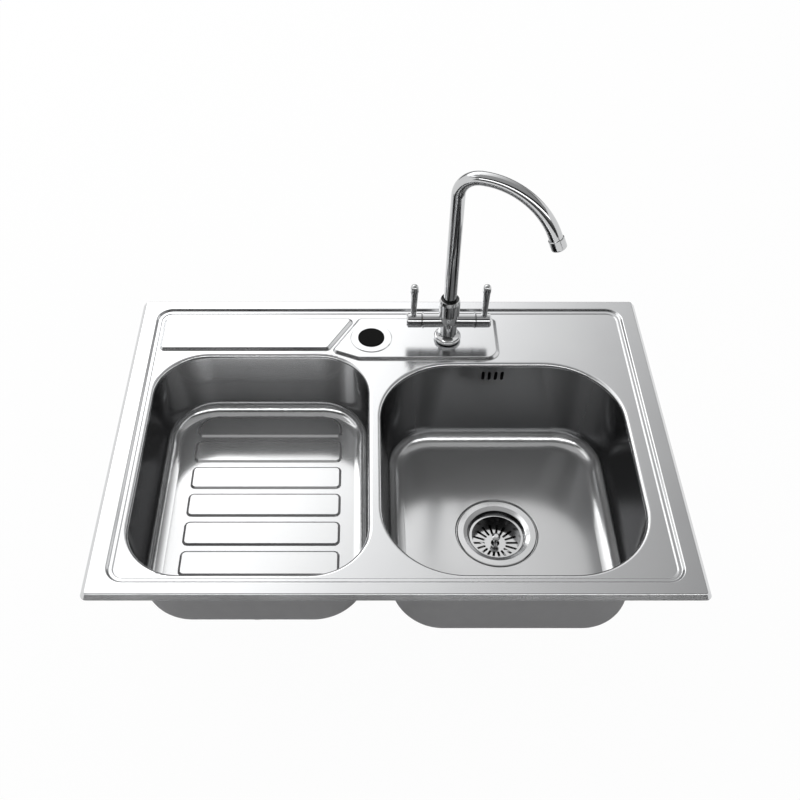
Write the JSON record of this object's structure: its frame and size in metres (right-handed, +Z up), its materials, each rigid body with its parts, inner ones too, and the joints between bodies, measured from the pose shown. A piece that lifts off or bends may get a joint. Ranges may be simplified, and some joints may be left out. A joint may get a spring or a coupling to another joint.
{
  "type": "kitchen sink with tap",
  "caption": "Inset stainless steel kitchen sink with a deep bowl, a shallow draining bowl, a basket waste and a bridge tap with a swivelling swan-neck spout.",
  "frame": {"origin": "centre of the rim's outline, on the plane of the worktop that the rim rests on", "axes": "+X to the right along the sink, +Y to the back where the tap stands, +Z up"},
  "size_m": [0.72, 0.51, 0.5313],
  "materials": {
    "satin_steel": "satin stainless sheet with a soft sheen",
    "waste_steel": "bright pressed stainless",
    "zinc_steel": "zinc plated, dull",
    "chrome": "polished chrome plate",
    "brass": "machined brass",
    "ceramic": "lapped white ceramic",
    "black_rubber": "moulded black rubber",
    "grey_foam": "closed-cell sealing strip",
    "white_plastic": "moulded white plastic",
    "black_nylon": "moulded black nylon",
    "dark_steel": "blackened steel"
  },
  "bodies": {
    "sink": {"clip_pins": "zinc_steel", "clip_rails": "zinc_steel", "clip_screws": "zinc_steel", "cold_cartridge": "chrome", "cold_fixed_disc": "ceramic", "deck_panel": "satin_steel", "drainer_bowl": "satin_steel", "drainer_outlet_body": "white_plastic", "drainer_outlet_flange": "waste_steel", "drainer_outlet_gasket": "black_rubber", "drainer_outlet_screw": "zinc_steel", "fixing_clips": "zinc_steel", "hot_cartridge": "chrome", "hot_fixed_disc": "ceramic", "main_bowl": "satin_steel", "overflow_gasket": "black_rubber", "overflow_housing": "white_plastic", "overflow_nuts": "zinc_steel", "overflow_pipe": "white_plastic", "overflow_studs": "zinc_steel", "rim_seal": "grey_foam", "spout_bush": "black_nylon", "spout_grub_screw": "dark_steel", "spout_o_rings": "black_rubber", "tap_body": "chrome", "tap_locknut": "brass", "tap_rubber_washer": "black_rubber", "tap_shank": "brass", "tap_skirt": "chrome", "tap_skirt_gasket": "black_rubber", "tap_steel_washer": "zinc_steel", "waste_body": "white_plastic", "waste_body_gasket": "black_rubber", "waste_clamp_screw": "zinc_steel", "waste_flange": "waste_steel", "waste_flange_gasket": "black_rubber"},
    "spout": {"spout_tube": "chrome", "spout_clip": "dark_steel", "aerator_housing": "chrome", "aerator_washer": "black_rubber", "aerator_insert": "white_plastic"},
    "hot_handle": {"hot_hub": "chrome", "hot_lever": "chrome", "hot_spindle": "brass", "hot_moving_disc": "ceramic", "hot_grub_screw": "dark_steel"},
    "cold_handle": {"cold_hub": "chrome", "cold_lever": "chrome", "cold_spindle": "brass", "cold_moving_disc": "ceramic", "cold_grub_screw": "dark_steel"},
    "basket": {"basket_cup": "waste_steel", "basket_knob": "waste_steel", "basket_seal": "black_rubber"},
    "plug": {"hole_plug": "black_rubber"}
  },
  "joints": [
    {"name": "spout_swivel", "type": "hinge", "parent": "sink", "child": "spout", "pos_m": [0.081, 0.1725, 0.05], "axis": [0, 0, 1], "continuous": true},
    {"name": "hot_lever_turn", "type": "hinge", "parent": "sink", "child": "hot_handle", "pos_m": [0.032, 0.1725, 0.04], "axis": [1, 0, 0], "range_deg": [0, 90]},
    {"name": "cold_lever_turn", "type": "hinge", "parent": "sink", "child": "cold_handle", "pos_m": [0.13, 0.1725, 0.04], "axis": [1, 0, 0], "range_deg": [0, 90]},
    {"name": "basket_lift", "type": "slide", "parent": "sink", "child": "basket", "axis": [0, 0, 1], "range_m": [0, 0.2]},
    {"name": "plug_lift", "type": "slide", "parent": "sink", "child": "plug", "axis": [0, 0, 1], "range_m": [0, 0.06]}
  ]
}
